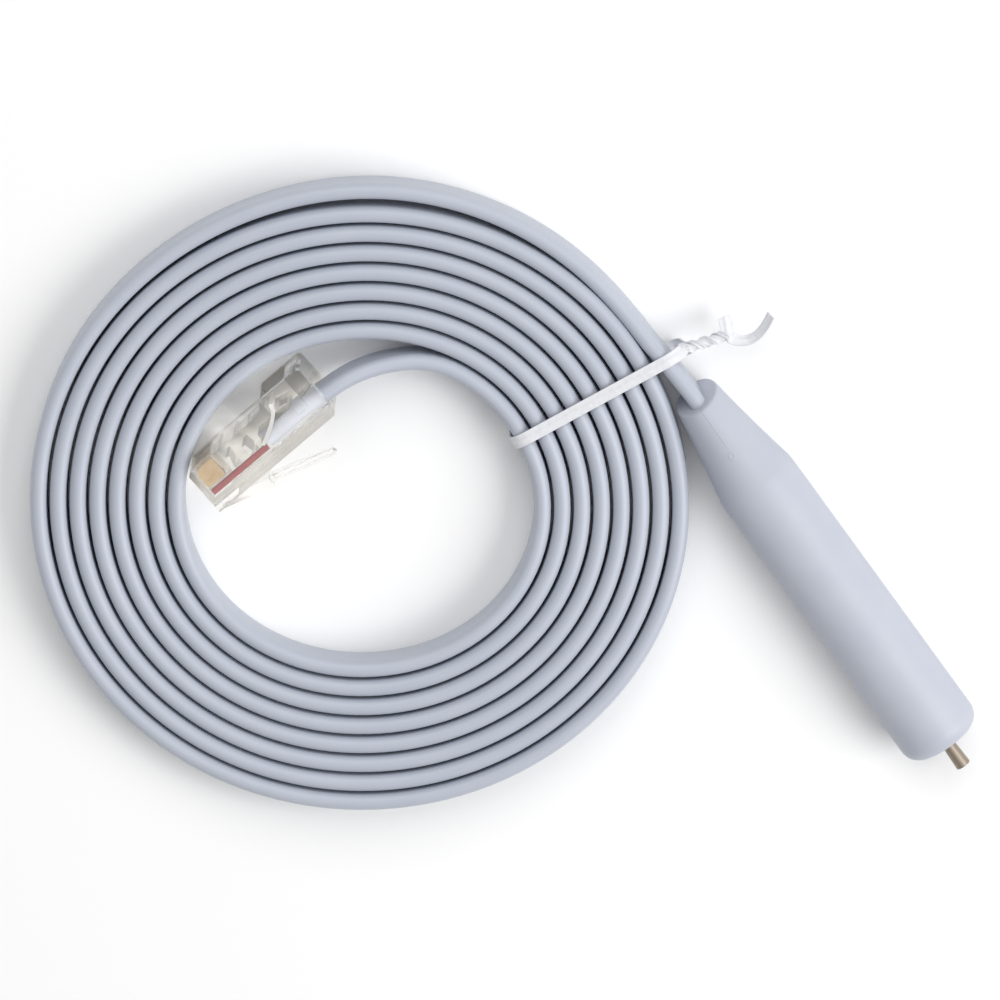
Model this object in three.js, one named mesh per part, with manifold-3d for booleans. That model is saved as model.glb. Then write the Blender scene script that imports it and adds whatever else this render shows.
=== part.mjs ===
// A console cable wound into a flat coil: a modular plug on the inner end of a flat
// eight-way cable, a moulded handle with a bare contact pin on the outer end, and a
// paper-covered tie that holds the turns. It lies on a level floor, in millimetres,
// +Z up. The cable stands on its edge in the coil, so the turns show on both ends.
import * as THREE from "three";
import { mergeVertices } from "three/addons/utils/BufferGeometryUtils.js";
import Module from "manifold-3d";

// Flat cable, with its long edges rounded off
const CABLE_WIDTH = 7.0;
const CABLE_THICKNESS = 2.4;
const CABLE_EDGE_DEPTH = 0.84;
const CABLE_EDGE_FLAT = 1.08;
const PLUG_LEAD_STEPS = 16;
const HANDLE_LEAD_STEPS = 10;

// Coil: turns of the cable side by side, a little oval and a little off centre
const TURNS = 8;
const TURN_GAP = 0.29;
const COIL_INNER_RADIUS = 22.8;
const COIL_OVAL = 0.9;
const COIL_SHIFT = [-0.9, 0.4];
const VALLEY_DEPTH = 0.9;
const COIL_SEGMENTS = 56;

// Clearances, and how far a cutting solid runs past the face that it opens
const TOUCH_GAP = 0.3;
const BLADE_GAP = 0.15;
const CUT_PAST = 1.0;

// Plug: its mating face lies against the coil, and its nose is this far from the coil's centre line
const PLUG_NOSE_REACH = 14.11;
const PLUG_SEAT = 0.86;
const PLUG_TURN = 40.8;
const PLUG_WIDTH = 11.68;
const PLUG_LENGTH = 21.1;
const PLUG_FRONT_HEIGHT = 6.8;
const PLUG_REAR_HEIGHT = 8.2;
const PLUG_STEP_AT = 13.2;
const PLUG_STEP_LENGTH = 1.0;
const PLUG_CHAMFER = 0.45;
const PLUG_SIDE_WALL = 1.35;
const JACKET_END = 11.0;
const JACKET_HEIGHT = 3.0;
const MOUTH_LENGTH = 2.0;
const MOUTH_FLARE_DOWN = 0.4;
const MOUTH_FLARE_UP = 0.6;

// Strain-relief tooth that presses on the jacket, and the pocket round it
const POCKET_FRONT = 14.0;
const TOOTH_TIP = 16.8;
const TOOTH_ROOT_DEPTH = 2.2;
const TOOTH_LIP = 0.9;
const POCKET_REAR = 18.6;

// Latch lever under the plug
const LATCH_WIDTH = 6.0;
const LATCH_TAIL_WIDTH = 3.25;
const LATCH_ROOT_LENGTH = 3.2;
const LATCH_ROOT_LIP = 0.35;
const LATCH_SHOULDER_AT = 7.6;
const LATCH_SHOULDER_STEP = 0.25;
const LATCH_TIP_AT = 16.6;
const LATCH_TIP_DROP = 4.9;
const LATCH_THICKNESS = 1.25;
const LATCH_TAIL_THICKNESS = 0.85;
const LATCH_TAIL_ROOT = 1.2;
const LATCH_SINK = 0.5;

// Contact blades
const BLADES = 8;
const BLADE_PITCH = 1.02;
const BLADE_THICKNESS = 0.3;
const BLADE_FRONT = 0.75;
const BLADE_LENGTH = 3.1;
const BLADE_HEIGHT = 3.0;
const BLADE_RECESS = 0.55;
const BLADE_NOSE = 0.8;
const BLADE_CORNER = 0.35;

// The one insulated wire that shows in the plug
const WIRE_DIAMETER = 0.95;
const WIRE_FRONT = 0.8;
const WIRE_HEIGHT = 2.45;
const WIRE_SIDES = 12;

// Handle: its neck lies this far outside the coil, at this angle round it
const HANDLE_ANGLE = 17.56;
const HANDLE_GAP = 3.64;
const HANDLE_TURN = -54.3;
const HANDLE_DIAMETER = 11.6;
const HANDLE_LENGTH = 59.6;
const SHOULDER_AT = 14.2;
const NECK_WIDTH = 6.6;
const NECK_HEIGHT = 9.2;
const NECK_SLANT = 14;
const NECK_DROP = 0.8;
const NECK_POCKET = 1.4;
const NECK_ROUND = 0.4;
const TAPER_EASE = 1.15;
const HANDLE_END_ROUND = 2.5;
const HANDLE_SIDES = 40;
const TAPER_STEPS = 6;
const END_ROUND_STEPS = 5;

// Contact pin
const PIN_DIAMETER = 2.0;
const PIN_LENGTH = 4.1;
const PIN_SEAT = 6.0;
const PIN_SIDES = 24;

// Tie: a loop round the section of the coil and the outer lead, then a twisted stem
const TIE_ANGLE = 24.23;
const TIE_TURN = 29.2;
const TIE_WIDTH = 1.9;
const TIE_THICKNESS = 0.5;
const TIE_INNER_SLACK = 0.36;
const TIE_OUTER_SLACK = 1.22;
const TIE_CORNER = 0.8;
const TIE_CORNER_STEPS = 4;
const TWIST_THICKNESS = 1.5;

// Stem and loose ends of the tie: along it from the loop, to its side, and height above the floor
const TIE_STEM = [[0, 0, 4.2], [1.6, -0.2, 3.9], [3.4, -0.5, 2.6]];
const TIE_LONG_END = [[3.0, -0.4, 2.9], [5.2, -1.4, 2.2], [7.6, -1.5, 1.6], [10.3, 0.9, 1.4]];
const TIE_SHORT_END = [[2.8, -0.4, 3.0], [4.0, 0.6, 3.4], [4.4, 2.6, 3.4]];
const TIE_END_STEPS = 8;

// Colours
const CABLE_COLOUR = 0xb6bccb;
const HANDLE_COLOUR = 0xb4bac9;
const PLUG_COLOUR = 0xe2e1dc;
const CONTACT_COLOUR = 0xd9b25a;
const WIRE_COLOUR = 0xb8444a;
const PIN_COLOUR = 0xb3a694;
const TIE_COLOUR = 0xe9e8ea;

const { cos, sin, tan, sqrt, PI } = Math;
const toRadians = THREE.MathUtils.degToRad;
const TURN_SPACING = CABLE_THICKNESS + TURN_GAP;
const COIL_OUTER_RADIUS = COIL_INNER_RADIUS + CABLE_THICKNESS + (TURNS - 1) * TURN_SPACING;
const FLOOR_TO_AXIS = CABLE_WIDTH / 2;
const HANDLE_AXIS = HANDLE_DIAMETER / 2;
const PLUG_AXIS = PLUG_WIDTH / 2;
const BLADES_SPAN = (BLADES - 1) * BLADE_PITCH;

// Point of the oval coil: the angle round it, in radians, and the radius before it is pulled oval.
function onCoil(angle, radius) {
  const reach = radius + COIL_OVAL * cos(2 * angle);
  return [reach * cos(angle) + COIL_SHIFT[0], reach * sin(angle) + COIL_SHIFT[1]];
}

// The handle's cable end, and the middle of the tie's loop
const handleEntry = onCoil(toRadians(HANDLE_ANGLE), COIL_OUTER_RADIUS + HANDLE_GAP);
const tieMiddle = onCoil(toRadians(TIE_ANGLE), (COIL_INNER_RADIUS + COIL_OUTER_RADIUS) / 2);
const tieInnerReach = (COIL_OUTER_RADIUS - COIL_INNER_RADIUS) / 2 + TIE_INNER_SLACK;
const tieOuterReach = (COIL_OUTER_RADIUS - COIL_INNER_RADIUS) / 2 + CABLE_THICKNESS + TIE_OUTER_SLACK;

// The plug is a chord of the coil's hole: its mating face is this far from the coil's centre.
const plugAxis = [cos(toRadians(PLUG_TURN)), sin(toRadians(PLUG_TURN))];
const chordReach = sqrt((COIL_INNER_RADIUS + PLUG_SEAT) ** 2 - PLUG_NOSE_REACH ** 2);
const latchFaceReach = chordReach - PLUG_FRONT_HEIGHT;
const plugCorner = [
  COIL_SHIFT[0] - PLUG_NOSE_REACH * plugAxis[0] - latchFaceReach * plugAxis[1],
  COIL_SHIFT[1] - PLUG_NOSE_REACH * plugAxis[1] + latchFaceReach * plugAxis[0],
];

const wasm = await Module();
wasm.setup();

// Solid from a closed geometry, and back again.
function solid(geometry) {
  const bare = geometry.clone();
  bare.deleteAttribute("normal");
  bare.deleteAttribute("uv");
  const merged = mergeVertices(bare, 1e-4);
  return new wasm.Manifold(
    new wasm.Mesh({
      numProp: 3,
      vertProperties: new Float32Array(merged.attributes.position.array),
      triVerts: new Uint32Array(merged.index.array),
    }),
  );
}

function geometryOf(body) {
  const mesh = body.getMesh();
  const geometry = new THREE.BufferGeometry();
  geometry.setAttribute("position", new THREE.BufferAttribute(mesh.vertProperties, 3));
  geometry.setIndex(new THREE.BufferAttribute(mesh.triVerts, 1));
  const flat = geometry.toNonIndexed();
  flat.computeVertexNormals();
  return flat;
}

function piece(name, geometry, colour, roughness, metalness = 0) {
  const material = new THREE.MeshStandardMaterial({ color: colour, roughness, metalness });
  const mesh = new THREE.Mesh(geometry, material);
  mesh.name = name;
  return mesh;
}

// Plate with the given outline in its own X and Y, centred across its thickness on Z.
function plate(points, thickness) {
  const shape = new THREE.Shape(points.map(([x, y]) => new THREE.Vector2(x, y)));
  const geometry = new THREE.ExtrudeGeometry(shape, { depth: thickness, bevelEnabled: false });
  return geometry.translate(0, 0, -thickness / 2);
}

// Box between two corners.
function block([x0, y0, z0], [x1, y1, z1]) {
  const box = new THREE.BoxGeometry(x1 - x0, y1 - y0, z1 - z0);
  return box.translate((x0 + x1) / 2, (y0 + y1) / 2, (z0 + z1) / 2);
}

// Section of the flat cable: a long octagon that is tall where it stands on edge.
function cableSection(grow = 0) {
  const half = CABLE_THICKNESS / 2 + grow;
  const reach = CABLE_WIDTH / 2 + grow;
  const straight = CABLE_WIDTH / 2 - CABLE_EDGE_DEPTH;
  const narrow = CABLE_EDGE_FLAT / 2 + grow;
  return [
    [half, straight], [narrow, reach], [-narrow, reach], [-half, straight],
    [-half, -straight], [-narrow, -reach], [narrow, -reach], [half, -straight],
  ];
}

// Cable on edge along a route of points, swept with its width kept upright.
function cableAlong(points, steps) {
  const stops = points.map((p) => new THREE.Vector3(...p));
  const curve = new THREE.CatmullRomCurve3(stops, false, "centripetal");
  const up = new THREE.Vector3(0, 0, 1);
  curve.computeFrenetFrames = (segments) => {
    const frames = { tangents: [], normals: [], binormals: [] };
    for (let i = 0; i <= segments; i += 1) {
      const tangent = curve.getTangentAt(i / segments);
      const side = new THREE.Vector3().crossVectors(up, tangent).normalize();
      frames.tangents.push(tangent);
      frames.normals.push(side);
      frames.binormals.push(new THREE.Vector3().crossVectors(tangent, side));
    }
    return frames;
  };
  const section = new THREE.Shape(cableSection().map(([x, y]) => new THREE.Vector2(x, y)));
  return new THREE.ExtrudeGeometry(section, { steps, extrudePath: curve, bevelEnabled: false });
}

// From the tie's own plane, X along it and Y up, to its place across the coil
function inTieFrame(geometry) {
  return geometry.rotateX(PI / 2).rotateZ(toRadians(TIE_TURN)).translate(tieMiddle[0], tieMiddle[1], 0);
}

// The room that the tie's lower strand takes up under the cable
function tieGroove() {
  const side = TIE_WIDTH / 2 + TOUCH_GAP;
  const room = block(
    [-tieInnerReach - CUT_PAST, -CUT_PAST, -side],
    [tieOuterReach + CUT_PAST, TIE_THICKNESS + TOUCH_GAP, side],
  );
  return solid(inTieFrame(room));
}

function makeCoil() {
  const half = CABLE_THICKNESS / 2;
  const crest = CABLE_EDGE_FLAT / 2;
  const valley = CABLE_WIDTH - VALLEY_DEPTH;
  const top = [];
  for (let i = 0; i < TURNS; i += 1) {
    const middle = COIL_INNER_RADIUS + half + i * TURN_SPACING;
    const left = i === 0 ? middle - half : middle - TURN_SPACING / 2;
    top.push([left, valley], [middle - crest, CABLE_WIDTH], [middle + crest, CABLE_WIDTH]);
  }
  top.push([COIL_OUTER_RADIUS, valley]);
  const bottom = top.map(([r, z]) => [r, CABLE_WIDTH - z]);
  const loop = [...bottom, ...top.reverse(), bottom[0]];
  const ring = new THREE.LatheGeometry(loop.map(([r, z]) => new THREE.Vector2(r, z)), COIL_SEGMENTS);
  ring.rotateX(PI / 2);

  const place = ring.attributes.position;
  for (let i = 0; i < place.count; i += 1) {
    const x = place.getX(i);
    const y = place.getY(i);
    place.setXY(i, ...onCoil(Math.atan2(y, x), Math.hypot(x, y)));
  }
  return piece("cable_coil", geometryOf(solid(ring).subtract(tieGroove())), CABLE_COLOUR, 0.5);
}

// Point of the plug's own frame: along from its nose, up from its latch face, across its width.
function onPlug(along, height, across = 0) {
  const x = plugCorner[0] + along * plugAxis[0] - height * plugAxis[1];
  const y = plugCorner[1] + along * plugAxis[1] + height * plugAxis[0];
  return [x, y, PLUG_AXIS + across];
}

// Point on the neck's centre line, along the handle from its cable end.
function onHandle(along) {
  const x = handleEntry[0] + along * cos(toRadians(HANDLE_TURN));
  const y = handleEntry[1] + along * sin(toRadians(HANDLE_TURN));
  return [x, y, HANDLE_AXIS - NECK_DROP];
}

// Points of the cable's centre line beside the coil: the angle in degrees, the gap between
// the cable's side and the coil, and how far the line has climbed from where it lies flat.
function insideCoil([degrees, gap, climb]) {
  const radius = COIL_INNER_RADIUS - gap - CABLE_THICKNESS / 2;
  return [...onCoil(toRadians(degrees), radius), FLOOR_TO_AXIS + climb];
}

function outsideCoil([degrees, gap, climb]) {
  const radius = COIL_OUTER_RADIUS + gap + CABLE_THICKNESS / 2;
  return [...onCoil(toRadians(degrees), radius), FLOOR_TO_AXIS + climb];
}

// A point behind the plug's mouth, on the way down from it.
function behindPlug([along, drop, fall]) {
  const [x, y, z] = onPlug(PLUG_LENGTH + along, JACKET_HEIGHT - drop);
  return [x, y, z - fall];
}

// Inner lead: from the start of the innermost turn, over the hole and into the plug.
const plugLeadPoints = [
  ...[
    [50.79, 0.38, 0], [56.69, 0.3, 0.03], [62.82, 0.28, 0.1],
    [69.51, 0.64, 0.3], [76.81, 1.07, 0.6], [84.26, 1.72, 1.1],
  ].map(insideCoil),
  ...[[4.4, 1.1, 0.74], [2.0, 0.5, 0.34], [-0.3, 0.4, 0], [-3.0, 0, 0]].map(behindPlug),
  onPlug((JACKET_END + PLUG_LENGTH) / 2, JACKET_HEIGHT),
  onPlug(JACKET_END, JACKET_HEIGHT),
];

// Outer lead: the end of the outermost turn swings off the coil and climbs into the handle.
const handleLeadPoints = [
  ...[
    [38.88, 0.31, 0], [34.07, 0.31, 0.01], [29.34, 0.42, 0.04], [25.41, 0.81, 0.1], [21.96, 1.46, 0.6],
  ].map(outsideCoil),
  onHandle(0),
  onHandle(NECK_POCKET - TOUCH_GAP),
];

function makePlugBody() {
  const edge = PLUG_CHAMFER;
  const outline = [
    [0, 0], [PLUG_LENGTH - edge, 0], [PLUG_LENGTH, edge], [PLUG_LENGTH, PLUG_REAR_HEIGHT - edge],
    [PLUG_LENGTH - edge, PLUG_REAR_HEIGHT], [PLUG_STEP_AT + PLUG_STEP_LENGTH, PLUG_REAR_HEIGHT],
    [PLUG_STEP_AT, PLUG_FRONT_HEIGHT], [edge, PLUG_FRONT_HEIGHT], [0, PLUG_FRONT_HEIGHT - edge],
  ];
  let body = solid(plate(outline, PLUG_WIDTH));

  // Channel for the jacket, wider at its mouth, and the bare wire's way to the blades
  const room = CABLE_THICKNESS / 2 + TOUCH_GAP;
  const across = CABLE_WIDTH / 2 + TOUCH_GAP;
  const mouth = PLUG_LENGTH - MOUTH_LENGTH;
  const channel = [
    [JACKET_END - TOUCH_GAP, JACKET_HEIGHT - room], [mouth, JACKET_HEIGHT - room],
    [PLUG_LENGTH, JACKET_HEIGHT - room - MOUTH_FLARE_DOWN],
    [PLUG_LENGTH + CUT_PAST, JACKET_HEIGHT - room - MOUTH_FLARE_DOWN],
    [PLUG_LENGTH + CUT_PAST, JACKET_HEIGHT + room + MOUTH_FLARE_UP],
    [PLUG_LENGTH, JACKET_HEIGHT + room + MOUTH_FLARE_UP],
    [mouth, JACKET_HEIGHT + room], [JACKET_END - TOUCH_GAP, JACKET_HEIGHT + room],
  ];
  body = body.subtract(solid(plate(channel, 2 * across)));
  const wire = WIRE_DIAMETER / 2 + BLADE_GAP;
  const span = BLADES_SPAN / 2 + wire;
  const ways = block(
    [WIRE_FRONT - BLADE_GAP, WIRE_HEIGHT - wire, -span],
    [JACKET_END, WIRE_HEIGHT + wire, span],
  );
  body = body.subtract(solid(ways));

  // Pocket over the cable, with the strain-relief tooth left standing in it
  const open = PLUG_REAR_HEIGHT + CUT_PAST;
  const overJacket = JACKET_HEIGHT + room;
  const pocket = [
    [POCKET_FRONT, open], [POCKET_FRONT, PLUG_REAR_HEIGHT - TOOTH_ROOT_DEPTH],
    [TOOTH_TIP, overJacket + TOOTH_LIP], [TOOTH_TIP, JACKET_HEIGHT],
    [POCKET_REAR, JACKET_HEIGHT], [POCKET_REAR, open],
  ];
  body = body.subtract(solid(plate(pocket, PLUG_WIDTH - 2 * PLUG_SIDE_WALL)));

  // Slots for the blades, open to the mating face
  const slot = BLADE_THICKNESS + 2 * BLADE_GAP;
  for (let i = 0; i < BLADES; i += 1) {
    const z = i * BLADE_PITCH - BLADES_SPAN / 2;
    const cut = block(
      [BLADE_FRONT - BLADE_GAP, WIRE_HEIGHT - wire, z - slot / 2],
      [BLADE_FRONT + BLADE_LENGTH + BLADE_GAP, PLUG_FRONT_HEIGHT + CUT_PAST, z + slot / 2],
    );
    body = body.subtract(solid(cut));
  }

  // Latch lever: wide root, shoulders, and the narrow tail that a thumb presses
  const slope = LATCH_TIP_DROP / LATCH_TIP_AT;
  const shoulder = LATCH_SHOULDER_AT;
  const shoulderUnder = -slope * shoulder - LATCH_SHOULDER_STEP;
  const root = [
    [0, LATCH_SINK], [0, -LATCH_ROOT_LIP], [shoulder, shoulderUnder],
    [shoulder, shoulderUnder + LATCH_THICKNESS], [LATCH_ROOT_LENGTH, 0], [LATCH_ROOT_LENGTH, LATCH_SINK],
  ];
  const tailStart = shoulder - LATCH_TAIL_ROOT;
  const tail = [
    [tailStart, -slope * tailStart], [LATCH_TIP_AT, -LATCH_TIP_DROP],
    [LATCH_TIP_AT, -LATCH_TIP_DROP + LATCH_TAIL_THICKNESS],
    [tailStart, -slope * tailStart + LATCH_TAIL_THICKNESS],
  ];
  body = body.add(solid(plate(root, LATCH_WIDTH))).add(solid(plate(tail, LATCH_TAIL_WIDTH)));
  return piece("plug_body", geometryOf(body), PLUG_COLOUR, 0.12);
}

function makeBlade(index) {
  const across = index * BLADE_PITCH - BLADES_SPAN / 2;
  const top = PLUG_FRONT_HEIGHT - BLADE_RECESS;
  const foot = top - BLADE_HEIGHT;
  const back = BLADE_FRONT + BLADE_LENGTH;
  const cut = BLADE_CORNER;
  const outline = [
    [BLADE_FRONT + cut, foot], [back - cut, foot], [back, foot + cut], [back, top - cut],
    [back - cut, top], [BLADE_FRONT + BLADE_NOSE, top], [BLADE_FRONT, top - BLADE_NOSE],
    [BLADE_FRONT, foot + cut],
  ];
  const geometry = plate(outline, BLADE_THICKNESS).translate(0, 0, across);
  return piece(`contact_blade_${index + 1}`, geometry, CONTACT_COLOUR, 0.25, 1);
}

function makeWire() {
  const length = JACKET_END - TOUCH_GAP - WIRE_FRONT;
  const geometry = new THREE.CylinderGeometry(WIRE_DIAMETER / 2, WIRE_DIAMETER / 2, length, WIRE_SIDES);
  geometry.rotateZ(PI / 2).translate(WIRE_FRONT + length / 2, WIRE_HEIGHT, BLADES_SPAN / 2);
  return piece("wire_red", geometry, WIRE_COLOUR, 0.4);
}

// The handle turned about its own axis, then drawn in sideways towards the cable end.
function makeHandle() {
  const big = HANDLE_DIAMETER / 2;
  const neck = NECK_HEIGHT / 2;
  const round = HANDLE_END_ROUND;
  const profile = [[0, 0], [neck - NECK_ROUND, 0], [neck, NECK_ROUND]];
  for (let i = 1; i <= TAPER_STEPS; i += 1) {
    const t = i / TAPER_STEPS;
    profile.push([neck + (big - neck) * t ** TAPER_EASE, NECK_ROUND + (SHOULDER_AT - NECK_ROUND) * t]);
  }
  for (let i = 0; i <= END_ROUND_STEPS; i += 1) {
    const a = (i / END_ROUND_STEPS) * (PI / 2);
    profile.push([big - round + round * cos(a), HANDLE_LENGTH - round + round * sin(a)]);
  }
  profile.push([0, HANDLE_LENGTH]);
  const turned = new THREE.LatheGeometry(profile.map(([r, u]) => new THREE.Vector2(r, u)), HANDLE_SIDES);
  // From the lathe's upright axis to one that lies along X, with Z still up
  turned.rotateZ(-PI / 2);

  const place = turned.attributes.position;
  for (let i = 0; i < place.count; i += 1) {
    const u = place.getX(i);
    const fade = Math.max(0, 1 - u / SHOULDER_AT);
    const squeeze = 1 - (1 - NECK_WIDTH / NECK_HEIGHT) * fade;
    const lean = tan(toRadians(NECK_SLANT)) * place.getZ(i) * fade;
    place.setXYZ(i, u + lean, place.getY(i) * squeeze, place.getZ(i) - NECK_DROP * fade);
  }
  // Pocket in the cable end, just wider than the cable, and the hole that the pin is pressed in
  const past = tan(toRadians(NECK_SLANT)) * neck + CUT_PAST;
  const pocket = new THREE.ExtrudeGeometry(
    new THREE.Shape(cableSection(TOUCH_GAP).map(([x, y]) => new THREE.Vector2(x, y))),
    { depth: NECK_POCKET + past, bevelEnabled: false },
  );
  pocket.rotateX(PI / 2).rotateZ(PI / 2).translate(-past, 0, -NECK_DROP);
  const bore = PIN_DIAMETER / 2 + BLADE_GAP;
  const hole = new THREE.CylinderGeometry(bore, bore, PIN_SEAT + CUT_PAST, PIN_SIDES);
  hole.rotateZ(PI / 2).translate(HANDLE_LENGTH - (PIN_SEAT - CUT_PAST) / 2, 0, 0);
  const body = solid(turned).subtract(solid(pocket)).subtract(solid(hole));
  return piece("handle", geometryOf(body), HANDLE_COLOUR, 0.55);
}

function makePin() {
  const length = PIN_LENGTH + PIN_SEAT - BLADE_GAP;
  const geometry = new THREE.CylinderGeometry(PIN_DIAMETER / 2, PIN_DIAMETER / 2, length, PIN_SIDES);
  geometry.rotateZ(PI / 2).translate(HANDLE_LENGTH + PIN_LENGTH - length / 2, 0, 0);
  return piece("contact_pin", geometry, PIN_COLOUR, 0.3, 1);
}

// Tie: a loop round the section of the coil, a twisted stem and two loose ends.
function makeTie() {
  const outline = (grow) => {
    const x0 = -tieInnerReach - grow;
    const x1 = tieOuterReach + grow;
    const y0 = TIE_THICKNESS - grow;
    const y1 = CABLE_WIDTH + TOUCH_GAP + grow;
    const r = TIE_CORNER + grow;
    const path = new THREE.Path();
    path.moveTo(x0 + r, y0).lineTo(x1 - r, y0).absarc(x1 - r, y0 + r, r, -PI / 2, 0, false);
    path.lineTo(x1, y1 - r).absarc(x1 - r, y1 - r, r, 0, PI / 2, false);
    path.lineTo(x0 + r, y1).absarc(x0 + r, y1 - r, r, PI / 2, PI, false);
    path.lineTo(x0, y0 + r).absarc(x0 + r, y0 + r, r, PI, 1.5 * PI, false);
    return path;
  };
  const shape = new THREE.Shape(outline(TIE_THICKNESS).getPoints(TIE_CORNER_STEPS));
  shape.holes.push(new THREE.Path(outline(0).getPoints(TIE_CORNER_STEPS)));
  const loop = new THREE.ExtrudeGeometry(shape, { depth: TIE_WIDTH, bevelEnabled: false });
  loop.translate(0, 0, -TIE_WIDTH / 2);
  let tie = solid(inTieFrame(loop));

  // Beyond the loop's outer strand, turned to the tie's direction
  const start = tieOuterReach + TIE_THICKNESS / 2;
  const beyond = ([along, side, z]) => {
    const c = cos(toRadians(TIE_TURN));
    const s = sin(toRadians(TIE_TURN));
    const reach = start + along;
    return new THREE.Vector3(tieMiddle[0] + reach * c - side * s, tieMiddle[1] + reach * s + side * c, z);
  };
  const strip = (points, width, thickness) => {
    const extrudePath = new THREE.CatmullRomCurve3(points.map(beyond));
    const options = { steps: TIE_END_STEPS, extrudePath, bevelEnabled: false };
    const section = new THREE.Shape();
    section.moveTo(-thickness / 2, -width / 2).lineTo(thickness / 2, -width / 2);
    section.lineTo(thickness / 2, width / 2).lineTo(-thickness / 2, width / 2);
    return solid(new THREE.ExtrudeGeometry(section, options));
  };
  tie = tie.add(strip(TIE_STEM, TWIST_THICKNESS, TWIST_THICKNESS));
  tie = tie.add(strip(TIE_LONG_END, TIE_WIDTH, TIE_THICKNESS));
  tie = tie.add(strip(TIE_SHORT_END, TIE_WIDTH, TIE_THICKNESS));
  return piece("twist_tie", geometryOf(tie), TIE_COLOUR, 0.75);
}

function makeLead(name, points, steps) {
  const body = solid(cableAlong(points, steps)).subtract(tieGroove());
  return piece(name, geometryOf(body), CABLE_COLOUR, 0.5);
}

const plug = new THREE.Group();
plug.add(makePlugBody(), makeWire());
for (let i = 0; i < BLADES; i += 1) plug.add(makeBlade(i));
plug.rotation.z = toRadians(PLUG_TURN);
plug.position.set(...plugCorner, PLUG_AXIS);

const grip = new THREE.Group();
grip.add(makeHandle(), makePin());
grip.rotation.z = toRadians(HANDLE_TURN);
grip.position.set(...handleEntry, HANDLE_AXIS);

const part = new THREE.Group();
part.add(
  makeCoil(),
  makeLead("plug_lead", plugLeadPoints, PLUG_LEAD_STEPS),
  makeLead("handle_lead", handleLeadPoints, HANDLE_LEAD_STEPS),
  plug,
  grip,
  makeTie(),
);

// The origin is on the floor under the middle of the whole object.
part.updateMatrixWorld(true);
const bounds = new THREE.Box3().setFromObject(part, true);
const middle = bounds.getCenter(new THREE.Vector3());
part.position.set(-middle.x, -middle.y, 0);

export default part;
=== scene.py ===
# %% [markdown]
# # A console cable wound into a flat coil
# The object is a flat eight-way cable that stands on its edge in eight turns. A clear modular
# plug sits on its inner end, a moulded handle with a bare metal pin on its outer end, and a
# white tie holds the turns. The CAD model gives the frame: its boxes say where the coil lies,
# and every new piece is worked out from there.

import bmesh
import bpy
import numpy as np
from mathutils import Matrix, Vector


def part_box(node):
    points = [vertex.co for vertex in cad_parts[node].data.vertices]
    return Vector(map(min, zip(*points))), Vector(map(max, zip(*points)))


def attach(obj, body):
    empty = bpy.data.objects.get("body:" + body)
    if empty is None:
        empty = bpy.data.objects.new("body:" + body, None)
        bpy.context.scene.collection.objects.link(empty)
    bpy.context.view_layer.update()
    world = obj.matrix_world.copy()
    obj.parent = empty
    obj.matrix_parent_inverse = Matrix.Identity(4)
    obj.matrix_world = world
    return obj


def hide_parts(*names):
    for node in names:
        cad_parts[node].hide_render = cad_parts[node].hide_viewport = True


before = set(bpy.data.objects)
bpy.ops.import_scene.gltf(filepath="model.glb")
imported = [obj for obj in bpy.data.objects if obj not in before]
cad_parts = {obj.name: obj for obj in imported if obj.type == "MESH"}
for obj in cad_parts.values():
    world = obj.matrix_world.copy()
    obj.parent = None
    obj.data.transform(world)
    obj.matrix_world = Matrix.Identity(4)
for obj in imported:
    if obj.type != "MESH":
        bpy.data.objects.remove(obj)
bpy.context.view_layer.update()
MM = 0.001

# %% [markdown]
# ## Where things lie
# The coil is a spiral, and its centre is the natural origin for the cable's route. It follows
# from the coil's box, because the ring lies off that centre by a known amount. The plug and
# the handle each have a frame of their own, so that their details can be given along the
# piece, across it and up. All of it is in millimetres, and one function makes it metres.

# %% Three frames of reference
RING_OFF_CENTRE = np.array([-0.9, 0.4])
PLUG_CORNER = np.array([-19.55, 0.4, 5.84])
PLUG_TURN = np.radians(40.8)
HANDLE_ENTRY = np.array([45.25, 15.0, 5.8])
HANDLE_TURN = np.radians(-54.3)

ring_low, ring_high = (np.array(corner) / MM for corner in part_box("cable_coil"))
coil_centre = np.append((ring_low[:2] + ring_high[:2]) / 2 - RING_OFF_CENTRE, 0.0)


def place(points):
    """Points in mm from the spiral's centre on the floor, as metres in the row frame."""
    return (np.asarray(points, float) + coil_centre) * MM


def turned(points, corner, turn):
    """Points of a piece's own frame: turned about +Z by the angle, then moved to its corner."""
    x, y, z = np.moveaxis(np.asarray(points, float), -1, 0)
    c, s = np.cos(turn), np.sin(turn)
    return np.stack([x * c - y * s, x * s + y * c, z], -1) + corner


def on_plug(points):
    """Along the plug from its nose, up from its latch face, and across from its middle."""
    return turned(points, PLUG_CORNER, PLUG_TURN)


def on_handle(points):
    """Along the handle from its cable end, sideways, and up from its axis."""
    return turned(points, HANDLE_ENTRY, HANDLE_TURN)


print("spiral centre in mm:", coil_centre.round(2))

# %% [markdown]
# ## The camera
# The photograph looks down from 13 degrees off the vertical, tilted towards the image's top,
# through a long lens. The view is 137.5 mm wide at the floor.

# %% Camera
VIEW_TILT = np.radians(13.0)
VIEW_DISTANCE = 1100.0
VIEW_WIDTH = 137.5
VIEW_MIDDLE = np.array([18.54, -0.58, 0.0])
SENSOR = 36.0

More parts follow.
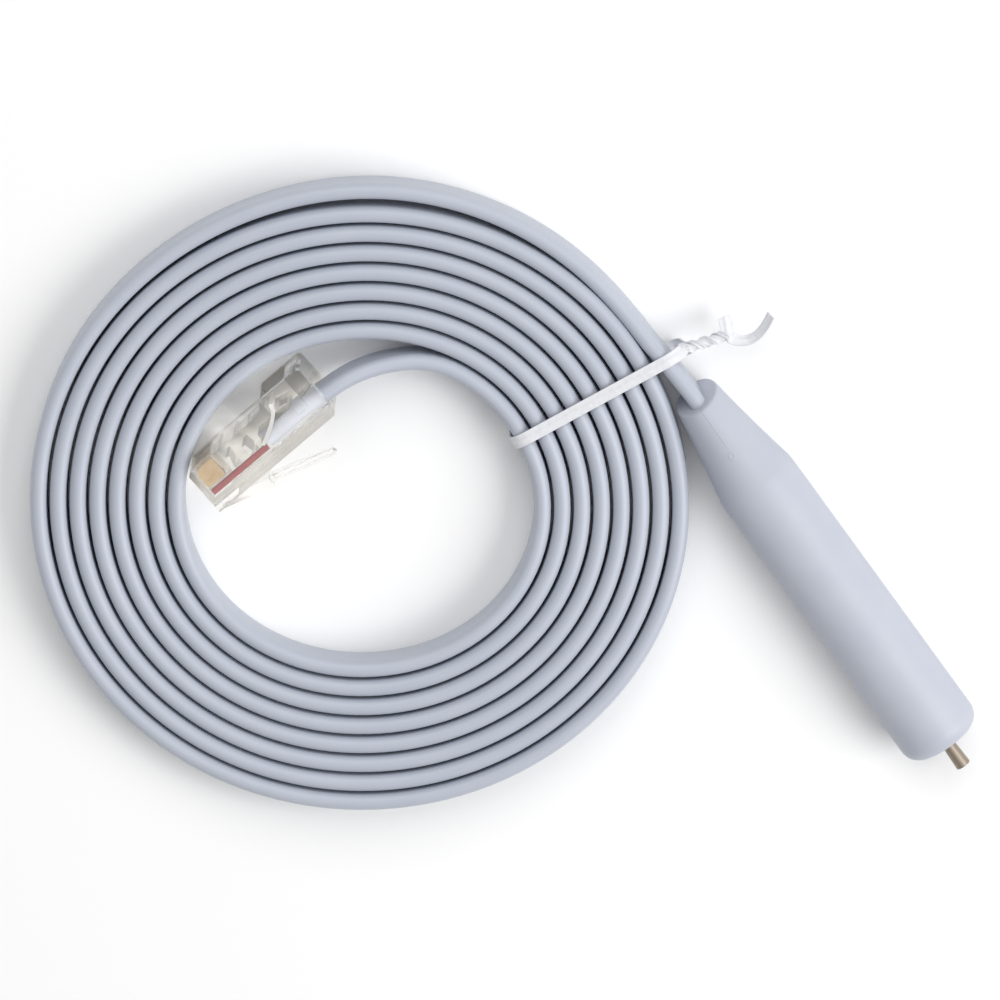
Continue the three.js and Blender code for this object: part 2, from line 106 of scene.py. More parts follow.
view_back = np.array([0.0, np.sin(VIEW_TILT), np.cos(VIEW_TILT)])
view_up = np.array([0.0, np.cos(VIEW_TILT), -np.sin(VIEW_TILT)])
camera_data = bpy.data.cameras.new("camera")
camera_data.sensor_width = SENSOR
camera_data.lens = SENSOR * VIEW_DISTANCE / VIEW_WIDTH
camera_data.clip_end = 10
camera = bpy.data.objects.new("camera", camera_data)
axes = Matrix([np.array([1.0, 0.0, 0.0]), view_up, view_back]).transposed().to_4x4()
camera.matrix_world = Matrix.Translation(place(VIEW_MIDDLE + VIEW_DISTANCE * view_back)) @ axes
bpy.context.scene.collection.objects.link(camera)
bpy.context.scene.camera = camera
bpy.context.scene.view_settings.view_transform = "Standard"
print("lens in mm:", round(camera_data.lens, 1))

# %% [markdown]
# ## Helpers for surfaces
# Every new piece here is a section carried along a line, or a profile turned about an axis.
# Both give a grid of points, ring after ring. A smooth line goes through a few chosen points,
# one function carries a section along it, and one skins the grid and closes its ends.

# %% Lines, sections and skins


def smooth_line(points, step):
    """Evenly spaced points on the cubic Hermite curve through the given points.

    With t from 0 to 1 between points a and b that lie h apart, and slopes p and q there:
    (2t3 - 3t2 + 1) a + (t3 - 2t2 + t) h p + (3t2 - 2t3) b + (t3 - t2) h q.
    """
    points = np.asarray(points, float)
    along = np.append(0, np.cumsum(np.linalg.norm(np.diff(points, axis=0), axis=1)))
    slope = np.gradient(points, along, axis=0)
    wanted = np.linspace(0, along[-1], int(round(along[-1] / step)) + 1)
    k = np.clip(np.searchsorted(along, wanted, side="right") - 1, 0, len(along) - 2)
    h = (along[k + 1] - along[k])[:, None]
    t = (wanted - along[k])[:, None] / h
    start = (2 * t**3 - 3 * t**2 + 1) * points[k] + (t**3 - 2 * t**2 + t) * h * slope[k]
    end = (3 * t**2 - 2 * t**3) * points[k + 1] + (t**3 - t**2) * h * slope[k + 1]
    return start + end


def places_along(points):
    """Distance of each point from the first one, measured along the line through them."""
    return np.append(0, np.cumsum(np.linalg.norm(np.diff(points, axis=0), axis=1)))


def unit(vectors):
    """Each vector divided by its length."""
    return vectors / np.linalg.norm(vectors, axis=-1, keepdims=True)


def rounded_section(width, height, radius, corner_points):
    """Outline of a rounded rectangle: four quarter circles of the radius, one in each corner."""
    quarter = np.linspace(0, np.pi / 2, corner_points)
    angle = np.concatenate([quarter + k * np.pi / 2 for k in range(4)])
    side_x = np.repeat([1, -1, -1, 1], corner_points) * (width / 2 - radius)
    side_y = np.repeat([1, 1, -1, -1], corner_points) * (height / 2 - radius)
    return np.stack([side_x + radius * np.cos(angle), side_y + radius * np.sin(angle)], -1)


def rings_along(line, across, section):
    """The section carried along the line: ring i = line i + x across_i + y up_i.

    The vector up is the line's direction crossed with across, which is squared up to it first.
    """
    tangent = unit(np.gradient(line, axis=0))
    across = unit(across - np.sum(across * tangent, -1, keepdims=True) * tangent)
    upward = np.cross(tangent, across)
    x, y = section[:, 0][None, :, None], section[:, 1][None, :, None]
    return line[:, None, :] + x * across[:, None, :] + y * upward[:, None, :]


def skin(rings):
    """Vertices and faces of a closed skin: quads between neighbouring rings, a cap at each end."""
    count, size = rings.shape[:2]
    i, j = np.meshgrid(np.arange(count - 1), np.arange(size), indexing="ij")
    k = (j + 1) % size
    quads = np.stack([i * size + j, i * size + k, (i + 1) * size + k, (i + 1) * size + j], -1)
    faces = quads.reshape(-1, 4).tolist()
    faces.append(list(range(size))[::-1])
    faces.append(list(range((count - 1) * size, count * size)))
    return rings.reshape(-1, 3), faces


# %% A finished piece


def new_piece(name, points, faces, material, around_mm=None, along_mm=None, girth=0.0):
    """A mesh object at the origin that rides on the root body. Points are in metres.

    The two optional arrays give each vertex its place around and along the piece in mm, which
    become its UV map, so that a pattern can follow the surface. In a quad that closes the
    girth, the small places get the whole girth added, so that the map doesn't run backwards.
    """
    mesh = bpy.data.meshes.new(name)
    mesh.from_pydata(np.asarray(points).tolist(), [], faces)
    mesh.polygons.foreach_set("use_smooth", np.ones(len(mesh.polygons), bool))
    mesh.set_sharp_from_angle(angle=np.radians(40))
    if around_mm is not None:
        corners = np.empty(len(mesh.loops), int)
        mesh.loops.foreach_get("vertex_index", corners)
        around = around_mm[corners]
        quads = around[: len(around) // 4 * 4].reshape(-1, 4)
        span = quads.max(1, keepdims=True) - quads.min(1, keepdims=True)
        quads += girth * ((span > girth / 2) & (quads < quads.mean(1, keepdims=True)))
        uv = np.stack([around, along_mm[corners]], -1)
        mesh.uv_layers.new(name="surface").uv.foreach_set("vector", uv.astype(np.float32).ravel())
    mesh.materials.append(material)
    piece = bpy.data.objects.new(name, mesh)
    bpy.context.scene.collection.objects.link(piece)
    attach(piece, "root")
    print(name, len(mesh.vertices), "vertices")
    return piece


# %% [markdown]
# ## Helpers for materials
# Colours are written as sRGB hex, as a colour picker shows them, and the shader wants them
# linear. A finish is a few nodes, and one helper adds a node with its settings and links.

# %% Colours and nodes


def linear(colour):
    """An sRGB hex colour as linear red, green, blue and alpha: ((c + 0.055) / 1.055) ** 2.4."""
    part = np.array([int(colour[k : k + 2], 16) / 255 for k in (1, 3, 5)])
    light = np.where(part <= 0.04045, part / 12.92, ((part + 0.055) / 1.055) ** 2.4)
    return (*light.tolist(), 1.0)


def add_node(tree, kind, inputs=None, **settings):
    """Adds one node. Settings are its properties, inputs its sockets: a value or a link."""
    node = tree.nodes.new(kind)
    for name, value in settings.items():
        setattr(node, name, value)
    for name, value in (inputs or {}).items():
        if isinstance(value, bpy.types.NodeSocket):
            tree.links.new(value, node.inputs[name])
        else:
            node.inputs[name].default_value = value
    return node


def new_material(name):
    """An empty material, its node tree and its output node, ready for a shader."""
    material = bpy.data.materials.new(name)
    material.use_nodes = True
    material.node_tree.nodes.clear()
    output = add_node(material.node_tree, "ShaderNodeOutputMaterial")
    print("material", name)
    return material, material.node_tree, output


# %% [markdown]
# ## The cable's jacket: soft PVC, extruded
# Extrusion leaves a smooth satin skin with very faint lines along the cable, where the die
# drags. The pale silver-blue pigment is even, apart from the smudges of handling. The pattern
# reads the piece's own UV map, which is in millimetres: U runs around the cable and V along
# it. Squeezing V makes a plain noise into long lines. The lines are drawn wider than real
# ones, because those would be too fine to show.

# %% Extruded PVC
DIE_LINE_MM = 0.35
SMUDGE_MM = 9.0
JACKET_DARK, JACKET_LIGHT = "#b0b6c2", "#b9bec9"
PVC_IOR = 1.53

jacket_pvc, tree, output = new_material("extruded_soft_pvc")
place_on = add_node(tree, "ShaderNodeUVMap", uv_map="surface").outputs["UV"]
stretched = add_node(
    tree, "ShaderNodeMapping",
    {"Vector": place_on, "Scale": (1 / DIE_LINE_MM, 0.02 / DIE_LINE_MM, 1.0)},
).outputs["Vector"]
die_lines = add_node(
    tree, "ShaderNodeTexNoise", {"Vector": stretched, "Scale": 1.0, "Detail": 3.0},
).outputs["Fac"]
smudges = add_node(
    tree, "ShaderNodeTexNoise", {"Vector": place_on, "Scale": 1 / SMUDGE_MM, "Detail": 4.0},
).outputs["Fac"]
tint = add_node(
    tree, "ShaderNodeMix", {0: smudges, 6: linear(JACKET_DARK), 7: linear(JACKET_LIGHT)},
    data_type="RGBA",
).outputs[2]
satin = add_node(
    tree, "ShaderNodeMapRange", {"Value": smudges, "To Min": 0.36, "To Max": 0.48},
).outputs["Result"]
relief = add_node(
    tree, "ShaderNodeBump", {"Height": die_lines, "Strength": 0.12, "Distance": 0.02 * MM},
).outputs["Normal"]
shader = add_node(
    tree, "ShaderNodeBsdfPrincipled",
    {"Base Color": tint, "Roughness": satin, "Normal": relief, "IOR": PVC_IOR},
)
tree.links.new(shader.outputs["BSDF"], output.inputs["Surface"])

# %% [markdown]
# ## The cable's route
# The cable stands on its edge, so each turn shows as a rounded band. Its route has three
# stretches: the inner lead from the plug, the spiral, and the outer lead into the handle. The
# leads are listed points, and the spiral is a formula, because a wound cable grows by
# its own thickness and a thin gap with each turn.

# %% The two leads, in mm from the spiral's centre
JACKET_END = 11.0
CABLE_OVER_LATCH_FACE = 3.0
NECK_DROP = 0.8

inner_lead = np.array([
    on_plug([JACKET_END, CABLE_OVER_LATCH_FACE, 0.0]),
    on_plug([14.0, CABLE_OVER_LATCH_FACE, 0.0]),
    on_plug([18.1, CABLE_OVER_LATCH_FACE, 0.0]),
    [-5.5, 15.95, 5.75], [-3.7, 17.2, 5.5], [-1.31, 18.5, 5.1], [1.44, 19.45, 4.6],
    [4.2, 20.0, 4.15], [6.95, 20.2, 3.8], [9.7, 19.84, 3.58],
])
outer_lead = np.array([
    [36.65, 25.5, 3.5], [39.0, 22.5, 3.55], [40.9, 20.4, 3.75], [42.7, 18.2, 4.3],
    on_handle([0.0, 0.0, -NECK_DROP]), on_handle([2.0, 0.0, -NECK_DROP]),
])
print("points in the leads:", len(inner_lead), len(outer_lead))

# %% The spiral
CABLE_WIDTH = 7.0
CABLE_THICKNESS = 2.27
FIRST_RADIUS = 22.70
GROWTH_PER_TURN = 2.698
OVALNESS = 1.0
SPIRAL_FROM, SPIRAL_TO, SPIRAL_STEP = np.radians([42, 2930, 6])
BULGE, BULGE_AT, BULGE_SPREAD = 0.55, *np.radians([2884, 28])
DRAW_IN, DRAW_IN_AT, DRAW_IN_SPREAD = 0.45, *np.radians([2936, 18])


def spiral(angle):
    """Centre line of the turns, at the angle a from +Y towards +X.

    The radius is FIRST_RADIUS + GROWTH_PER_TURN a / 2 pi - OVALNESS cos 2a. The last turn
    bulges out at the top by BULGE exp(-((a - BULGE_AT) / BULGE_SPREAD) squared), and draws in
    to the tie by a second hump of the same kind.
    """
    radius = FIRST_RADIUS + GROWTH_PER_TURN * angle / (2 * np.pi) - OVALNESS * np.cos(2 * angle)
    radius += BULGE * np.exp(-(((angle - BULGE_AT) / BULGE_SPREAD) ** 2))
    radius -= DRAW_IN * np.exp(-(((angle - DRAW_IN_AT) / DRAW_IN_SPREAD) ** 2))
    height = np.full_like(angle, CABLE_WIDTH / 2)
    return np.stack([radius * np.sin(angle), radius * np.cos(angle), height], -1)


ROUTE_STEP = 1.5

turns = spiral(np.arange(SPIRAL_FROM, SPIRAL_TO, SPIRAL_STEP))
route = smooth_line(np.concatenate([inner_lead, turns, outer_lead]), ROUTE_STEP)
print("cable length in m:", round(places_along(route)[-1] * MM, 3))

# %% [markdown]
# ## Over the tie
# The tie passes under the coil, so the turns rise a little there. The rise is a smooth hump,
# 5 mm wide to each side of the tie, and only on the side of the coil where the tie is.

# %% The rise over the tie
TIE_MIDDLE = np.array([31.8, 15.3])
TIE_TURN = np.radians(29.2)
TIE_REACH = 20.0
TIE_LIFT = 0.6
TIE_HUMP = 5.0

from_tie = route[:, :2] - TIE_MIDDLE
beside_tie = from_tie[:, 1] * np.cos(TIE_TURN) - from_tie[:, 0] * np.sin(TIE_TURN)
over_tie = np.exp(-((beside_tie / TIE_HUMP) ** 2)) * (np.abs(from_tie[:, 0]) < TIE_REACH)
route[:, 2] += TIE_LIFT * over_tie
print("points lifted by over half:", int((over_tie > 0.5).sum()))

# %% [markdown]
# ## The cable
# The cable is 7 mm wide and 2.3 mm thick, with edges that are nearly half round, as flat cable
# has. The section is carried along the route with its long side upright.

# %% The cable's skin
EDGE_RADIUS = 1.12

sideways = np.cross([0.0, 0.0, 1.0], np.gradient(route, axis=0))
section = rounded_section(CABLE_THICKNESS, CABLE_WIDTH, EDGE_RADIUS, 8)
points, faces = skin(rings_along(route, sideways, section))
around = places_along(section)
cable = new_piece(
    "flat_cable", place(points), faces, jacket_pvc,
    np.tile(around, len(route)), np.repeat(places_along(route), len(section)),
    girth=around[-1] + np.linalg.norm(section[0] - section[-1]),
)
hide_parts("cable_coil", "plug_lead", "handle_lead")

# %% [markdown]
# ## The handle's finish: soft PVC, moulded over the cable
# A mould gives a fine even grain. Where its halves meet, a parting line runs along the top of
# the neck, and the gate where the plastic flowed in leaves a small round mark. Both are under
# a tenth of a millimetre deep, so they are relief in the material and not in the shape.

# %% Moulded PVC
CLOUD_MM = 7.0
GRAIN_MM = 0.25
HANDLE_DARK, HANDLE_LIGHT = "#b0b5c2", "#bcc0ca"

handle_pvc, tree, output = new_material("moulded_soft_pvc")
place_on = add_node(tree, "ShaderNodeUVMap", uv_map="surface").outputs["UV"]
cloud = add_node(
    tree, "ShaderNodeTexNoise", {"Vector": place_on, "Scale": 1 / CLOUD_MM, "Detail": 5.0},
).outputs["Fac"]
grain = add_node(
    tree, "ShaderNodeTexNoise", {"Vector": place_on, "Scale": 1 / GRAIN_MM, "Detail": 2.0},
).outputs["Fac"]
tint = add_node(
    tree, "ShaderNodeMix", {0: cloud, 6: linear(HANDLE_DARK), 7: linear(HANDLE_LIGHT)},
    data_type="RGBA",
).outputs[2]
skin_relief = add_node(
    tree, "ShaderNodeBump", {"Height": grain, "Strength": 0.15, "Distance": 0.03 * MM},
).outputs["Normal"]

# %% The parting line and the gate mark
SEAM_HALF_WIDTH = 0.16
SEAM_END = 7.0
GATE_PLACE = (-0.2, 7.9, 0.0)
GATE_RADIUS = 0.5

map_axes = add_node(tree, "ShaderNodeSeparateXYZ", {"Vector": place_on}).outputs
beside = add_node(tree, "ShaderNodeMath", {0: map_axes["X"]}, operation="ABSOLUTE").outputs[0]
seam = add_node(
    tree, "ShaderNodeMapRange", {"Value": beside, "From Min": SEAM_HALF_WIDTH, "From Max": 0.04},
    interpolation_type="SMOOTHSTEP",
).outputs["Result"]
seam_end = add_node(
    tree, "ShaderNodeMapRange",
    {"Value": map_axes["Y"], "From Min": SEAM_END, "From Max": SEAM_END - 1.0},
    interpolation_type="SMOOTHSTEP",
).outputs["Result"]
parting = add_node(tree, "ShaderNodeMath", {0: seam, 1: seam_end}, operation="MULTIPLY").outputs[0]
from_gate = add_node(
    tree, "ShaderNodeVectorMath", {0: place_on, 1: GATE_PLACE}, operation="DISTANCE",
).outputs["Value"]
past_ring = add_node(
    tree, "ShaderNodeMath", {0: from_gate, 1: GATE_RADIUS}, operation="SUBTRACT",
).outputs[0]
off_ring = add_node(tree, "ShaderNodeMath", {0: past_ring}, operation="ABSOLUTE").outputs[0]
gate = add_node(
    tree, "ShaderNodeMapRange", {"Value": off_ring, "From Min": 0.2, "From Max": 0.05},
    interpolation_type="SMOOTHSTEP",
).outputs["Result"]
marks = add_node(tree, "ShaderNodeMath", {0: parting, 1: gate}, operation="ADD").outputs[0]
relief = add_node(
    tree, "ShaderNodeBump",
    {"Height": marks, "Strength": 0.5, "Distance": 0.08 * MM, "Normal": skin_relief},
).outputs["Normal"]
shader = add_node(
    tree, "ShaderNodeBsdfPrincipled",
    {"Base Color": tint, "Roughness": 0.5, "Normal": relief, "IOR": PVC_IOR},
)
tree.links.new(shader.outputs["BSDF"], output.inputs["Surface"])
print("gate mark at", GATE_PLACE[:2], "mm around and along")

# %% [markdown]
# ## The handle
# The handle is a round bar with a rounded far end. Towards the cable it narrows to an oval
# neck, whose end face is slanted. A lathe could turn the profile, so the skin is a turned
# profile too, and then the neck is squeezed sideways, dropped to the cable and slanted.

# %% The handle's profile
HANDLE_RADIUS = 5.8
HANDLE_LENGTH = 59.6
SHOULDER_AT = 14.2
NECK_WIDTH, NECK_HEIGHT = 6.6, 9.2
NECK_RIM = 0.4
END_ROUND = 2.5
END_FACE_RADII = [2.2, 1.15]


def handle_radius(u):
    """Radius u mm along: the neck's, then a taper as (u / shoulder) ** 1.15 to the full bar."""
    rise = np.clip(u / SHOULDER_AT, 0, 1)
    return NECK_HEIGHT / 2 + (HANDLE_RADIUS - NECK_HEIGHT / 2) * rise**1.15


rim = np.linspace(0, np.pi / 2, 6)
end = np.linspace(0, np.pi / 2, 12)[1:]
body_u = np.linspace(2 * NECK_RIM, HANDLE_LENGTH - END_ROUND, 70)
profile_u = np.concatenate([
    NECK_RIM - NECK_RIM * np.cos(rim), body_u,
    HANDLE_LENGTH - END_ROUND + END_ROUND * np.sin(end), [HANDLE_LENGTH] * 2,
])
profile_r = np.concatenate([
    NECK_HEIGHT / 2 - NECK_RIM + NECK_RIM * np.sin(rim), handle_radius(body_u),
    HANDLE_RADIUS - END_ROUND + END_ROUND * np.cos(end), END_FACE_RADII,
])
print("handle's profile:", len(profile_u), "points")

# %% The handle's skin
NECK_SLANT = np.radians(14)
HANDLE_SIDES = 96


def turned_profile(u, r, angle):
    """The profile turned about X, with the neck squeezed, dropped and slanted.

    With f falling from 1 at the cable end to 0 at the shoulder, and s = 1 - width / height:
    y = r sin v (1 - s f), z = r cos v - drop f, x = u + tan(slant) r cos v f.
    """
    fade = np.clip(1 - u / SHOULDER_AT, 0, 1)[:, None]
    y = r[:, None] * np.sin(angle) * (1 - (1 - NECK_WIDTH / NECK_HEIGHT) * fade)
    z = r[:, None] * np.cos(angle)
    x = u[:, None] + np.tan(NECK_SLANT) * z * fade
    return np.stack([x, y, z - NECK_DROP * fade], -1)


angle = np.linspace(np.pi, -np.pi, HANDLE_SIDES + 1)[1:]
points, faces = skin(turned_profile(profile_u, profile_r, angle))
handle = new_piece(
    "moulded_handle", place(on_handle(points)), faces, handle_pvc,
    np.tile(angle * HANDLE_RADIUS, len(profile_u)), np.repeat(profile_u, HANDLE_SIDES),
    girth=2 * np.pi * HANDLE_RADIUS,
)
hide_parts("handle")

# %% [markdown]
# ## The contact pin: brass wire, nickel plated and cut square
# Wire is drawn through a die, which leaves fine lines along it, and the plating over them is
# satin. The lines are drawn wider than real ones, so that they show. A metal has its colour
# in its reflection, so the base colour is the warm grey of the plating.

# %% Plated brass
DRAW_LINE_MM = 0.2

pin_metal, tree, output = new_material("nickel_plated_brass")
place_on = add_node(tree, "ShaderNodeUVMap", uv_map="surface").outputs["UV"]
drawn = add_node(
    tree, "ShaderNodeMapping", {"Vector": place_on, "Scale": (1 / DRAW_LINE_MM, 0.15, 1.0)},
).outputs["Vector"]
lines = add_node(
    tree, "ShaderNodeTexNoise", {"Vector": drawn, "Scale": 1.0, "Detail": 3.0},
).outputs["Fac"]
satin = add_node(
    tree, "ShaderNodeMapRange", {"Value": lines, "To Min": 0.4, "To Max": 0.65},
).outputs["Result"]
relief = add_node(
    tree, "ShaderNodeBump", {"Height": lines, "Strength": 0.3, "Distance": 0.03 * MM},
).outputs["Normal"]
shader = add_node(
    tree, "ShaderNodeBsdfPrincipled",
    {"Base Color": linear("#a89c8e"), "Roughness": satin, "Metallic": 1.0, "Normal": relief},
)
tree.links.new(shader.outputs["BSDF"], output.inputs["Surface"])

# %% The pin's skin
PIN_RADIUS = 1.0
PIN_OUT = 4.1
PIN_ROOT = 1.0
CUT_BURR = 0.06
PIN_SIDES = 40

pin_u = HANDLE_LENGTH + np.array([-PIN_ROOT, PIN_OUT - CUT_BURR, PIN_OUT, PIN_OUT])
pin_r = PIN_RADIUS * np.array([0.86, 1.06, 1.0, 0.5])[:, None]
angle = np.linspace(0, 2 * np.pi, PIN_SIDES + 1)[:-1]
pin_x = np.repeat(pin_u[:, None], PIN_SIDES, 1)
points, faces = skin(np.stack([pin_x, pin_r * np.cos(angle), pin_r * np.sin(angle)], -1))
pin = new_piece(
    "cut_pin", place(on_handle(points)), faces, pin_metal,
    np.tile(angle, len(pin_u)), np.repeat(pin_u, PIN_SIDES), girth=2 * np.pi,
)
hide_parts("contact_pin")

# %% [markdown]
# ## The plug's finish: clear polycarbonate, injection moulded
# Moulded polycarbonate is clear and glossy, with faint flow marks that bend what is seen
# through it. A real one bends light more than the value here. The lower value keeps the plug
# as light as in the photograph, and lamp light passes straight through, because the shadows
# of bent light would take far more samples.

# %% Clear polycarbonate
FLOW_MARK_MM = 2.5

clear_plastic, tree, output = new_material("clear_polycarbonate")
place_on = add_node(tree, "ShaderNodeTexCoord").outputs["Object"]
flow = add_node(
    tree, "ShaderNodeTexNoise",
    {"Vector": place_on, "Scale": 1 / (FLOW_MARK_MM * MM), "Detail": 2.0},
).outputs["Fac"]
relief = add_node(
    tree, "ShaderNodeBump", {"Height": flow, "Strength": 0.2, "Distance": 0.05 * MM},
).outputs["Normal"]
glass = add_node(
    tree, "ShaderNodeBsdfPrincipled",
    {
        "Base Color": linear("#fffefc"), "Roughness": 0.05, "IOR": 1.37, "Normal": relief,
        "Transmission Weight": 0.94,
    },
).outputs["BSDF"]
let_lamps_in = add_node(
    tree, "ShaderNodeBsdfTransparent", {"Color": linear("#fdfcfa")},
).outputs["BSDF"]
lamp_ray = add_node(tree, "ShaderNodeLightPath").outputs["Is Shadow Ray"]
both = add_node(tree, "ShaderNodeMixShader", {0: lamp_ray, 1: glass, 2: let_lamps_in})
tree.links.new(both.outputs["Shader"], output.inputs["Surface"])

# %% [markdown]
# ## The plug's body
# The CAD solid already has the plug's walls, slots, pocket and latch. A copy of it is merged,
# because its triangles are loose, and its edges are rounded, because it is the edges of clear
# plastic that catch the light.

# %% A copy with rounded edges
EDGE_ROUND = 0.12

copy = bmesh.new()
copy.from_mesh(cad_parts["plug_body"].data)
bmesh.ops.remove_doubles(copy, verts=copy.verts, dist=1e-6)
bmesh.ops.dissolve_limit(copy, angle_limit=np.radians(1), verts=copy.verts, edges=copy.edges)
plug_mesh = bpy.data.meshes.new("clear_plug")
copy.to_mesh(plug_mesh)
copy.free()
plug_mesh.materials.append(clear_plastic)
clear_plug = bpy.data.objects.new("clear_plug", plug_mesh)
bpy.context.scene.collection.objects.link(clear_plug)
rounding = clear_plug.modifiers.new("rounded_edges", "BEVEL")
rounding.width = EDGE_ROUND * MM
rounding.segments = 2
rounding.limit_method = "ANGLE"
rounding.angle_limit = np.radians(30)
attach(clear_plug, "root")
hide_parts("plug_body")
print("clear_plug", len(plug_mesh.vertices), "vertices before rounding")

# %% [markdown]
# ## The bars inside the plug
# When the plug is crimped, a bar is pushed down on the jacket and others on the row of wires.
# Each is part of the body and hinges on thin plastic, and where polycarbonate is bent that
# far it goes white and cloudy. Each bar is an outline of (along, height) points that is
# carried across the inside of the plug.

# %% Whitened polycarbonate
CRAZE_MM = 0.4

whitened, tree, output = new_material("stress_whitened_polycarbonate")
place_on = add_node(tree, "ShaderNodeTexCoord").outputs["Object"]
crazing = add_node(
    tree, "ShaderNodeTexNoise",
    {"Vector": place_on, "Scale": 1 / (CRAZE_MM * MM), "Detail": 4.0},
).outputs["Fac"]
dull = add_node(
    tree, "ShaderNodeMapRange", {"Value": crazing, "To Min": 0.35, "To Max": 0.6},
).outputs["Result"]
shader = add_node(
    tree, "ShaderNodeBsdfPrincipled",
    {"Base Color": linear("#efeeec"), "Roughness": dull, "IOR": 1.58, "Transmission Weight": 0.4},
)
tree.links.new(shader.outputs["BSDF"], output.inputs["Surface"])

# %% The strain relief and the two wire bars
BAR_HALF_WIDTH = 4.4
BAR_THICKNESS = 0.55


def cross_bar(name, outline):
    """An outline of (along, height) points carried from one side of the plug to the other."""
    rings = np.stack([
        np.insert(outline, 2, side, axis=1) for side in (-BAR_HALF_WIDTH, BAR_HALF_WIDTH)
    ])
    points, faces = skin(rings)
    piece = new_piece(name, place(on_plug(points)), faces, whitened)
    return piece


bar_line = smooth_line(
    [[14.9, 6.7], [14.5, 5.7], [13.6, 4.85], [12.6, 4.15], [11.6, 3.6], [10.4, 3.05]], 0.3,
)
bar_slope = unit(np.gradient(bar_line, axis=0))
to_side = np.stack([-bar_slope[:, 1], bar_slope[:, 0]], -1) * BAR_THICKNESS / 2
bar = cross_bar("relief_bar", np.concatenate([bar_line - to_side, (bar_line + to_side)[::-1]]))
front_bar = cross_bar(
    "wire_bar_front", np.array([[4.9, 3.1], [5.5, 3.1], [5.9, 5.0], [5.3, 5.0]]),
)
rear_bar = cross_bar(
    "wire_bar_rear", np.array([[8.2, 3.3], [8.8, 3.3], [8.6, 4.7], [8.0, 4.7]]),
)

# %% [markdown]
# ## The contacts: phosphor bronze, rolled, stamped and gold plated
# The blades and the red wire keep their CAD shape and only get a finish. Rolled sheet has a
# fine satin grain, and the plating is thinner and paler in places.

# %% Gold plating
GRAIN_OF_SHEET_MM = 0.3
WEAR_MM = 1.4

gold, tree, output = new_material("gold_plated_bronze")
place_on = add_node(tree, "ShaderNodeTexCoord").outputs["Object"]
rolled = add_node(
    tree, "ShaderNodeTexNoise",
    {"Vector": place_on, "Scale": 1 / (GRAIN_OF_SHEET_MM * MM), "Detail": 3.0},
).outputs["Fac"]
satin = add_node(
    tree, "ShaderNodeMapRange", {"Value": rolled, "To Min": 0.35, "To Max": 0.5},
).outputs["Result"]
wear = add_node(
    tree, "ShaderNodeTexNoise",
    {"Vector": place_on, "Scale": 1 / (WEAR_MM * MM), "Detail": 2.0},
).outputs["Fac"]
tint = add_node(
    tree, "ShaderNodeMix", {0: wear, 6: linear("#b98f4e"), 7: linear("#ead9b8")},
    data_type="RGBA",
).outputs[2]
shader = add_node(
    tree, "ShaderNodeBsdfPrincipled", {"Base Color": tint, "Roughness": satin, "Metallic": 1.0},
)
tree.links.new(shader.outputs["BSDF"], output.inputs["Surface"])

blades = [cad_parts[f"contact_blade_{k}"] for k in range(1, 9)]
for blade in blades:
    blade.data.materials.clear()
    blade.data.materials.append(gold)
print("blades plated:", len(blades))

# %% [markdown]
# ## The red wire: extruded PVC insulation
# Thin insulation is a little glossier than the jacket, and its pigment is slightly uneven.

# %% Red insulation
PIGMENT_MM = 1.2

red_pvc, tree, output = new_material("red_wire_insulation")
place_on = add_node(tree, "ShaderNodeTexCoord").outputs["Object"]
pigment = add_node(
    tree, "ShaderNodeTexNoise",
    {"Vector": place_on, "Scale": 1 / (PIGMENT_MM * MM), "Detail": 3.0},
).outputs["Fac"]
tint = add_node(
    tree, "ShaderNodeMix", {0: pigment, 6: linear("#7c1c24"), 7: linear("#8a262d")},
    data_type="RGBA",
).outputs[2]
shader = add_node(
    tree, "ShaderNodeBsdfPrincipled", {"Base Color": tint, "Roughness": 0.4},
)
tree.links.new(shader.outputs["BSDF"], output.inputs["Surface"])

red_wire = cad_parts["wire_red"]
red_wire.data.materials.clear()
red_wire.data.materials.append(red_pvc)
print("red wire's vertices:", len(red_wire.data.vertices))

# %% [markdown]
# ## The tie's finish: white coated paper over a steel wire
# The covering is pressed onto its wire and creases when it is bent. The creases show as small
# soft dents, and the white is painted darker in the dents, as painted shade in the creases.

# %% White coated paper
CRUMPLE_MM = 0.8

tie_paper, tree, output = new_material("white_coated_paper")
place_on = add_node(tree, "ShaderNodeUVMap", uv_map="surface").outputs["UV"]
crumple_and_painted_shade = add_node(
    tree, "ShaderNodeTexNoise", {"Vector": place_on, "Scale": 1 / CRUMPLE_MM, "Detail": 4.0},
).outputs["Fac"]
# Painted shade: the white is darker where the crease noise dents the surface.
tint = add_node(
    tree, "ShaderNodeMix", {0: crumple_and_painted_shade, 6: linear("#d2d3d8"), 7: linear("#e8e8ec")},
    data_type="RGBA",
).outputs[2]
relief = add_node(
    tree, "ShaderNodeBump", {"Height": crumple_and_painted_shade, "Strength": 0.5, "Distance": 0.12 * MM},
).outputs["Normal"]
shader = add_node(
    tree, "ShaderNodeBsdfPrincipled", {"Base Color": tint, "Roughness": 0.45, "Normal": relief},
)
tree.links.new(shader.outputs["BSDF"], output.inputs["Surface"])

# %% [markdown]
# ## The tie's shape
# It is one flat strip, 1.75 mm wide, with the bead of its wire along the middle. From its
# short end it winds down to the coil, passes over the coil, round its inner edge and back
# under it, and then winds with itself to its long end. Its own frame runs along the loop. A
# second list says which way the strip's flat side faces at each point.

# %% The strip's section
TIE_WIDTH = 1.75
TIE_THICKNESS = 0.5
TIE_EDGE = 0.22
BEAD_SPREAD = 0.32


def in_tie_frame(points):
    """Along the tie from the middle of its loop, sideways, and up from the floor."""
    return turned(points, np.append(TIE_MIDDLE, 0.0), TIE_TURN)


